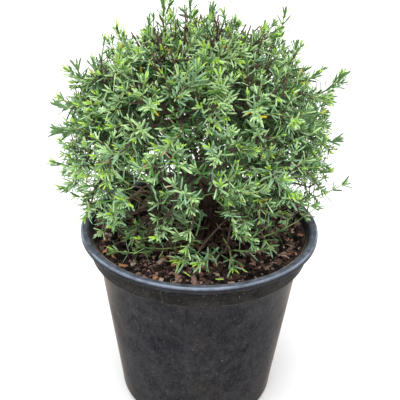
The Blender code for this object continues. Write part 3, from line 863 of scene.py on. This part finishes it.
def build_limbs(masses):
    """Bark with ridges on the trunk and on every bough, in place of the CAD limbs."""
    rng = random.Random(GROWTH_SEED + 1)
    bark = bark_material("bark_rough", (0.022, 0.012, 0.009), (0.14, 0.08, 0.058))
    trunk = TubeSet()
    ridges = []
    for _ in range(TRUNK_RIDGES):
        ridges.append((round(rng.uniform(2, 9)), rng.uniform(0, ANY_PHASE), rng.uniform(-2, 2)))

    def trunk_relief(share, angle):
        wave = sum(math.sin(count * angle + start + twist * share * 3) for count, start, twist in ridges)
        return 0.94 + 0.024 * wave + rng.uniform(-0.02, 0.02)

    shares = [step / (TRUNK_RINGS - 1) for step in range(TRUNK_RINGS)]
    path = [trunk_point(share) for share in shares]
    radii = [trunk_radius(share) for share in shares]
    trunk.add(path, radii, TRUNK_SIDES, BROWN_TWIG, trunk_relief, UP)
    piece = trunk.build("trunk_bark", [bark])
    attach(piece, "root")
    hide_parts("trunk")
    boughs = TubeSet()
    for mass in masses:
        start, control, first_normal = mass.bough_curve()
        path = curve_path(start, control, mass.bough_tip, BOUGH_RINGS)
        radii = taper(BOUGH_RADII, BOUGH_RINGS)
        phase = rng.uniform(0, ANY_PHASE)

        def bough_relief(share, angle):
            return 0.96 + 0.05 * math.sin(3 * angle + phase + 9 * share) + rng.uniform(-0.04, 0.04)

        boughs.add(path, radii, BOUGH_SIDES, BROWN_TWIG, bough_relief, first_normal)
    piece = boughs.build("bough_bark", [bark])
    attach(piece, "root")
    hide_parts(*["bough_%02d" % mass.number for mass in masses])


class Leaves:
    """All leaves as arrays: root, way, side that faces the shoot's tip, length, width, bend and shade."""

    def __init__(self):
        self.rows = []

    def add(self, root, way, face, length, width, bend, shade):
        if not in_gap(root + way * length * 0.7):
            self.rows.append((*root, *way, *face, length, width, bend, shade))

    def build(self, materials):
        rows = np.array(self.rows)
        root, way, face, length, width, bend, shade = np.split(rows, (3, 6, 9, 10, 11, 12), 1)
        across = np.cross(way, face)
        sections = []
        for share, wide, thick in LEAF_STATIONS:
            centre = root + way * length * share + face * length * bend * share ** 2
            if wide == 0.0:
                sections.append([centre])
                continue
            half = across * width * wide / 2
            sections.append([centre - half, centre + half, centre + face * LEAF_THICKNESS * thick])
        points = np.stack([point for section in sections for point in section], 1)
        height = points[..., 2]
        far = np.hypot(points[..., 0], points[..., 1])
        on_wall = (far > COLLAR_INNER_RADIUS - 0.0012) & (far < LIP_RADIUS + 0.002)
        in_rim = ((height < POT_HEIGHT + 0.0008) & on_wall).any(1)
        keep = (height.min(1) > MIX_HEIGHT + 0.0012) & ~in_rim
        points, shade = points[keep], shade[keep]
        faces = [
            (0, 2, 1), (0, 3, 2), (0, 1, 3),
            (1, 2, 5, 4), (2, 3, 6, 5), (3, 1, 4, 6),
            (4, 5, 7), (5, 6, 7), (6, 4, 7),
        ]
        under = np.array([True, False, False] * 3)
        flat = np.concatenate(faces)
        sizes = [len(face_corners) for face_corners in faces]
        pieces = []
        for first in range(0, len(points), MOST_LEAVES_A_PIECE):
            part = points[first:first + MOST_LEAVES_A_PIECE]
            count = len(part)
            corners = flat + points.shape[1] * np.arange(count)[:, None]
            polygons = (corners.ravel(), np.tile(sizes, count))
            slots = np.where(under, UNDERSIDE, shade[first:first + count]).ravel()
            name = "leaves_%02d" % (len(pieces) + 1)
            pieces.append(solid_mesh(name, part.reshape(-1, 3), polygons, materials, slots))
        return pieces


def pick_shade(rng, share, bright, height):
    """A shade for one spray: painted shade deep inside the crown, greyer and lighter outside and towards the
    top as painted light.
    """
    lit = min(1.0, max(0.0, (height - POT_HEIGHT - LIT_FOOT) / (LIT_TOP - LIT_FOOT)))
    shades = INSIDE_SHADES if share < SHADED_SHARE else BRIGHT_SHADES if bright else OUTER_SHADES
    weights = [low + (high - low) * lit for _, low, high in shades]
    return rng.choices([shade for shade, _, _ in shades], weights)[0]


def path_lengths(path):
    lengths = [0.0]
    for low, high in zip(path, path[1:]):
        lengths.append(lengths[-1] + (high - low).length)
    return lengths


def point_back(path, lengths, back):
    """The point and the way on a path, at a length counted back from its tip."""
    at = lengths[-1] - back
    index = max(k for k in range(len(path) - 1) if lengths[k] <= at)
    along = (path[index + 1] - path[index]).normalized()
    return path[index] + along * (at - lengths[index]), along


def add_tuft(rng, leaves, root, along, size, count, shade):
    """Small upright leaves round a growing tip, the inner ones shorter and steeper."""
    for leaf in range(count):
        inner = leaf / count
        lean = math.radians(38 - 26 * inner + rng.uniform(-6, 6))
        way = tilted(along, lean, 2.4 * leaf + rng.uniform(-0.3, 0.3))
        face = square_to(along, way)
        length = size * (1.0 - 0.38 * inner) * rng.uniform(0.85, 1.15)
        leaves.add(root, way, face, length, LEAF_WIDTH * 0.85, rng.uniform(-0.04, 0.12), shade)


def add_whorl(rng, leaves, centre, along, turn, lean, scale, shade, outer):
    """One ring of leaves, with a bud in some of the axils."""
    count = rng.choice(WHORL_COUNTS)
    for leaf in range(count):
        around = turn + 2 * math.pi * leaf / count + rng.uniform(-0.25, 0.25)
        way = tilted(along, lean + rng.uniform(-0.2, 0.2), around)
        face = square_to(along, way)
        length = LEAF_LENGTH * scale * rng.uniform(0.78, 1.12)
        own = shade
        # Some leaves take their own green, darker inside the crown as painted shade
        if rng.random() < OWN_SHADE_CHANCE:
            own = rng.choice((MID, GREY, LIGHT)) if outer else rng.choice((SHADOWED, MID))
        worn = rng.random()
        if worn < YELLOW_CHANCE:
            own = YELLOW
        elif worn < YELLOW_CHANCE + DRY_CHANCE:
            own = DRY
        width = LEAF_WIDTH * scale * rng.uniform(0.85, 1.12)
        leaves.add(centre, way, face, length, width, rng.uniform(-0.12, 0.14), own)
        if outer and rng.random() < BUD_CHANCE:
            bud_way = tilted(along, lean * 0.45, around)
            add_tuft(rng, leaves, centre, bud_way, LEAF_LENGTH * BUD_SCALE, 3, rng.choice((YOUNG, LIGHT)))


def leaf_shoot(rng, path, twigs, leaves, leafy_length, bright, share, scale, habit, sprigs=True):
    """A tuft at the tip of a shoot, then whorls back along it and short sprigs from some of them."""
    first_lean, opening, tuft_leaves, tuft_share, spacing = habit
    lengths = path_lengths(path)
    spray = pick_shade(rng, share, bright, path[-1].z)
    outer = share > SHADED_SHARE
    tip_shade = spray
    if outer:
        tip_shade = rng.choice((YOUNG, YOUNG, YOUNG, LIGHT) if bright else (YOUNG, LIGHT, LIGHT))
    tip_way = (path[-1] - path[-2]).normalized()
    tuft_root = path[-1] - tip_way * 0.0005
    add_tuft(rng, leaves, tuft_root, tip_way, LEAF_LENGTH * tuft_share * scale, tuft_leaves, tip_shade)
    turn = rng.uniform(0, 2 * math.pi)
    back = FIRST_WHORL * rng.uniform(0.7, 1.3)
    order = 0
    while back < min(leafy_length, lengths[-1] * 0.94):
        centre, along = point_back(path, lengths, back)
        lean = math.radians(min(MOST_LEAN, first_lean + opening * order))
        outer = share - back / CROWN_RADIUS > OUTER_WHORL_SHARE
        fresh = bright and order == 0 and rng.random() < 0.5
        # Whorls deeper in the crown get the darker greens: painted shade
        shade = LIGHT if fresh else spray if outer else rng.choice((SHADOWED, SHADOWED, MID))
        turn += WHORL_TURN + rng.uniform(-0.3, 0.3)
        add_whorl(rng, leaves, centre, along, turn, lean, scale, shade, outer)
        if sprigs and outer and order > 0 and rng.random() < SIDE_SPRIG_CHANCE:
            add_side_sprig(rng, twigs, leaves, centre, along, turn, bright, share, scale, habit)
        back += spacing * rng.uniform(0.78, 1.2)
        order += 1


def add_side_sprig(rng, twigs, leaves, root, along, turn, bright, share, scale, habit):
    way = tilted(along, math.radians(rng.uniform(38, 58)), turn)
    length = rng.uniform(*SIDE_SPRIG_LENGTHS)
    end = root + (way + along * 0.5).normalized() * length
    path = curve_path(root, root + way * length * 0.5, end, 4)
    twigs.add(path, taper(SIDE_SPRIG_RADII, 4), 4, GREEN_TWIG)
    leaf_shoot(rng, path, twigs, leaves, length * 0.8, bright, share, scale * 0.85, habit, False)


def kept_share(point):
    """How many of the shoots there are kept: few hang just above the pot, and none in a gap."""
    if in_gap(point):
        return 0.0
    for height, kept in LOW_KEPT:
        if point.z < POT_HEIGHT + height:
            return kept
    return 1.0


def in_gap(point):
    """Whether a point lies in one of the gaps that let the trunk and the mix show at the front."""
    for foot, way, radius in GAP_TUNNELS:
        offset = point - foot
        along = offset.dot(way)
        if along > 0.0 and (offset - way * along).length < radius:
            return True
    return False


def random_target(rng, mass, spread, shares):
    """A random tip in front of a mass's bough, with its share of the dome."""
    way = (mass.direction + random_vector(rng).normalized() * spread).normalized()
    share = rng.uniform(*shares)
    return dome_point(way, share), share


def spread_targets(rng, mass, wanted, shares):
    """Even, seeded tips within a mass's space, thinner just above the pot."""
    targets = []
    for _ in range(wanted):
        best = None
        for _ in range(PLACE_TRIES):
            point, share = random_target(rng, mass, PLACE_SPREAD, shares)
            if not mass.holds(point, shares[1] + 0.01, 0.004):
                continue
            gap = min(((point - other).length for other, _ in targets), default=1.0)
            if best is None or gap > best[0]:
                best = (gap, point, share)
        if best is not None and rng.random() < kept_share(best[1]):
            targets.append((best[1], best[2]))
    return targets


def grow_mass(rng, mass, twigs, leaves):
    """Branches from the stem, then shoots from the nearest branch to each target."""
    start, control, _ = mass.bough_curve()
    end_way = (mass.bough_tip - control).normalized()
    stem_start = mass.bough_tip - end_way * 0.0004
    stray = Vector((rng.uniform(-1, 1), rng.uniform(-1, 1), rng.uniform(-1, 1)))
    hub = mass.bough_tip.lerp(mass.centre, 0.45) + stray * 0.002
    stem = curve_path(stem_start, stem_start + end_way * 0.01, hub, 6)
    twigs.add(stem, taper(STEM_RADII, 6), 8, BROWN_TWIG)
    joints = []
    first_turn = rng.uniform(0, ANY_PHASE)
    for index in range(BRANCHES_PER_MASS):
        lean = math.radians(WIDEST_BRANCH) * math.sqrt((index + 0.3) / BRANCHES_PER_MASS)
        way = tilted(mass.direction, lean, first_turn + math.radians(GOLDEN_ANGLE) * index)
        reach = SHORTEST_BRANCH
        while mass.holds(hub + way * reach, BRANCH_OUTER_SHARE) and reach < LONGEST_BRANCH:
            reach += BRANCH_STEP
        end = hub + way * reach * 0.92
        bend = hub + (way + end_way * 0.5).normalized() * reach * 0.45
        path = curve_path(hub - end_way * 0.001, bend, end, BRANCH_POINTS)
        twigs.add(path, taper(BRANCH_RADII, BRANCH_POINTS), 6, BROWN_TWIG)
        for point in range(2, BRANCH_POINTS):
            after = path[min(point + 1, BRANCH_POINTS - 1)]
            joints.append((path[point], (after - path[point - 1]).normalized()))
    part = LOW_MASS_SHARE if mass.tier == "low" else 1.0
    targets = spread_targets(rng, mass, round(SHELL_SHOOTS * part), SHELL_SHARES[mass.tier])
    targets += spread_targets(rng, mass, round(FILL_SHOOTS * part), FILL_SHARES)
    for target, share in targets + inner_targets(rng, mass):
        bright = share > BRIGHT_SHARE and rng.random() < BRIGHT_CHANCES[mass.tier]
        grow_shoot(rng, target, share, joints, twigs, leaves, bright)
    for target, share in spread_targets(rng, mass, FREE_SHOOTS[mass.tier], FREE_SHARES):
        grow_shoot(rng, target, share, joints, twigs, leaves, True, FREE_UPWARD, UPRIGHT_HABIT)
    for azimuth, elevation, reach in LONG_SHOOTS:
        way = direction_of(azimuth, elevation)
        tip = dome_point(way, reach - LONG_TUFT_SHARE)
        if mass.holds(tip, reach, 0.001):
            upward = STEEP_UPWARD if elevation > STEEP_LONG else LEVEL_UPWARD
            grow_shoot(rng, tip, 1.0, joints, twigs, leaves, True, upward, LONG_HABIT, LONG_SCALE)


def inner_targets(rng, mass):
    """Tips deeper in the crown, which close the view through it."""
    if mass.tier == "low":
        return []
    return [random_target(rng, mass, INNER_SPREAD, INNER_SHARES) for _ in range(INNER_SHOOTS)]


def grow_shoot(rng, target, share, joints, twigs, leaves, bright, upward=0.5, habit=OPEN_HABIT, scale=1.0):
    """A shoot from the handiest joint to its target: brown at first, then green, and leafy to the tip."""
    out = (target - CROWN_CENTRE).normalized()
    stray = random_vector(rng) * 0.22
    tip_way = (out * 0.6 + UP * upward + stray).normalized()

    def cost(joint):
        point, way = joint
        span = target - point
        distance = span.length
        if distance < SHORTEST_SHOOT:
            return 1.0
        return distance * (1.6 - 0.6 * span.normalized().dot(way)) + abs(distance - BEST_SHOOT) * 0.5

    point, way = min(joints, key=cost)
    span = (target - point).length
    pull = 0.5 if upward < 0.8 else 0.75
    control = (point + way * span * 0.4).lerp(target - tip_way * span * 0.45, pull)
    path = curve_path(point, control, target, SHOOT_POINTS)
    thick = SHOOT_RADII[bright]
    split = 4
    last = SHOOT_POINTS - 1
    brown = [thick * (1.15 - 0.3 * step / last) for step in range(split + 1)]
    green = [thick * (1.15 - 0.5 * step / last) for step in range(split, SHOOT_POINTS)]
    twigs.add(path[:split + 1], brown, 5, BROWN_TWIG)
    twigs.add(path[split:], green, 5, GREEN_TWIG)
    leafy = LEAFY_LENGTH * rng.uniform(0.75, 1.25)
    leaf_shoot(rng, path, twigs, leaves, leafy, bright, share, scale, habit)


def grow_low_sprigs(rng, twigs, leaves):
    """Long sprigs from the foot of the trunk, bare at first, then leafy to a tip that turns up."""
    sprigs = [(metres(row[:3]), metres(row[3:])) for row in LOW_SPRIGS]
    for index in range(BACK_SPRIGS):
        out = direction_of(BACK_FIRST + BACK_SPAN * (index + rng.uniform(0.1, 0.9)) / BACK_SPRIGS, 0.0)
        foot = out * rng.uniform(0.04, 0.06) + UP * rng.uniform(0.22, 0.232)
        tip = out * rng.uniform(0.08, 0.125) + UP * rng.uniform(0.222, 0.244)
        sprigs.append((foot, tip))
    for foot, tip in sprigs:
        start = trunk_point(rng.uniform(0.1, 0.32))
        run = tip - foot
        bare_length = (foot - start).length
        bare = curve_path(start, foot - run.normalized() * bare_length * 0.4, foot, LOW_SPRIG_POINTS)
        sag = UP * run.length * 0.12
        leafy = curve_path(foot, foot + run * 0.55 - sag, tip, LOW_SPRIG_POINTS)
        twigs.add(bare, taper(BARE_SPRIG_RADII, LOW_SPRIG_POINTS), 6, BROWN_TWIG)
        twigs.add(leafy, taper(LEAFY_SPRIG_RADII, LOW_SPRIG_POINTS), 6, GREEN_TWIG)
        bright = rng.random() < 0.6
        leaf_shoot(rng, leafy, twigs, leaves, run.length, bright, 1.0, LOW_SPRIG_SCALE, LOW_HABIT, False)


def add_bare_ends(rng, twigs):
    """Dark, bare twig ends between the leaves."""
    for count, elevations, shares, radius in (CUT_STUBS, BARE_TWIGS):
        for _ in range(count):
            way = direction_of(rng.uniform(0, 360), rng.uniform(*elevations))
            end = dome_point(way, rng.uniform(*shares))
            lean = (way + Vector((rng.uniform(-1, 1), rng.uniform(-1, 1), 0.8)) * 0.35).normalized()
            start = end - lean * rng.uniform(*BARE_LENGTHS)
            bend = (start + end) / 2 + Vector((rng.uniform(-1, 1), rng.uniform(-1, 1), 0)) * 0.003
            twigs.add(curve_path(start, bend, end, 6), [radius] * 6, 6, CUT_TWIG)


def add_fallen_leaves(rng, leaves):
    """A few yellow-green leaves that lie on the mix at the front."""
    for x, y in FALLEN_LEAVES:
        root = Vector((x / 1000, y / 1000, MIX_HEIGHT + 0.0046))
        way = direction_of(rng.uniform(0, 360), rng.uniform(4, 14))
        length = LEAF_LENGTH * rng.uniform(0.5, 0.9)
        leaves.add(root, way, UP, length, LEAF_WIDTH, 0.0, YOUNG)


def build_foliage(masses):
    rng = random.Random(GROWTH_SEED)
    twigs = TubeSet()
    leaves = Leaves()
    for mass in masses:
        grow_mass(rng, mass, twigs, leaves)
    grow_low_sprigs(rng, twigs, leaves)
    add_bare_ends(rng, twigs)
    add_fallen_leaves(rng, leaves)
    twig_materials = [
        plain_material("twig_brown", (0.084, 0.056, 0.041), 0.85, 0.3),
        plain_material("twig_green", (0.27, 0.37, 0.12), 0.7, 0.3),
        plain_material("twig_cut", (0.105, 0.066, 0.052), 0.9, 0.2),
    ]
    names = ["foliage_%02d" % mass.number for mass in masses]
    piece = twigs.build("twigs", twig_materials)
    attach(piece, "root")
    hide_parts(*names)
    materials = [plain_material(name, colour, 0.5, 0.45) for name, colour in LEAF_SHADES.items()]
    for piece in leaves.build(materials):
        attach(piece, "root")
        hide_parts(*names)


def build_stage():
    """A pale floor and soft, even studio light."""
    white = plain_material("floor_white", (0.93, 0.93, 0.93), 0.9, 0.1)
    corners = [(-6, -6, 0), (6, -6, 0), (6, 6, 0), (-6, 6, 0)]
    floor = list_mesh("floor", corners, [(0, 1, 2, 3)], [white])
    scene = bpy.context.scene
    world = scene.world or bpy.data.worlds.new("studio")
    scene.world = world
    world.use_nodes = True
    fill(world.node_tree.nodes["Background"], {"Color": (1.0, 1.0, 1.0, 1.0), "Strength": WORLD_STRENGTH})
    sun = bpy.data.lights.new("key_light", "SUN")
    sun.energy = SUN_STRENGTH
    sun.angle = math.radians(SUN_SPREAD)
    lamp = link(bpy.data.objects.new("key_light", sun))
    lamp.rotation_euler = (-Vector(SUN_PLACE)).to_track_quat("-Z", "Y").to_euler()
    scene.view_settings.view_transform = "Standard"


def build_camera():
    camera = bpy.data.cameras.new("camera")
    camera.lens = CAMERA_LENS
    camera.sensor_width = 36.0
    camera.clip_start = 0.01
    eye = link(bpy.data.objects.new("camera", camera))
    pitch = Matrix.Rotation(math.radians(90.0 - CAMERA_PITCH), 4, "X")
    roll = Matrix.Rotation(math.radians(CAMERA_ROLL), 4, "Z")
    eye.matrix_world = Matrix.Translation(CAMERA_PLACE) @ pitch @ roll
    bpy.context.scene.camera = eye


for startup in list(bpy.data.objects):
    bpy.data.objects.remove(startup, do_unlink=True)
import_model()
build_camera()
masses = plan_masses()
build_pot()
build_mix()
build_limbs(masses)
build_foliage(masses)
build_stage()
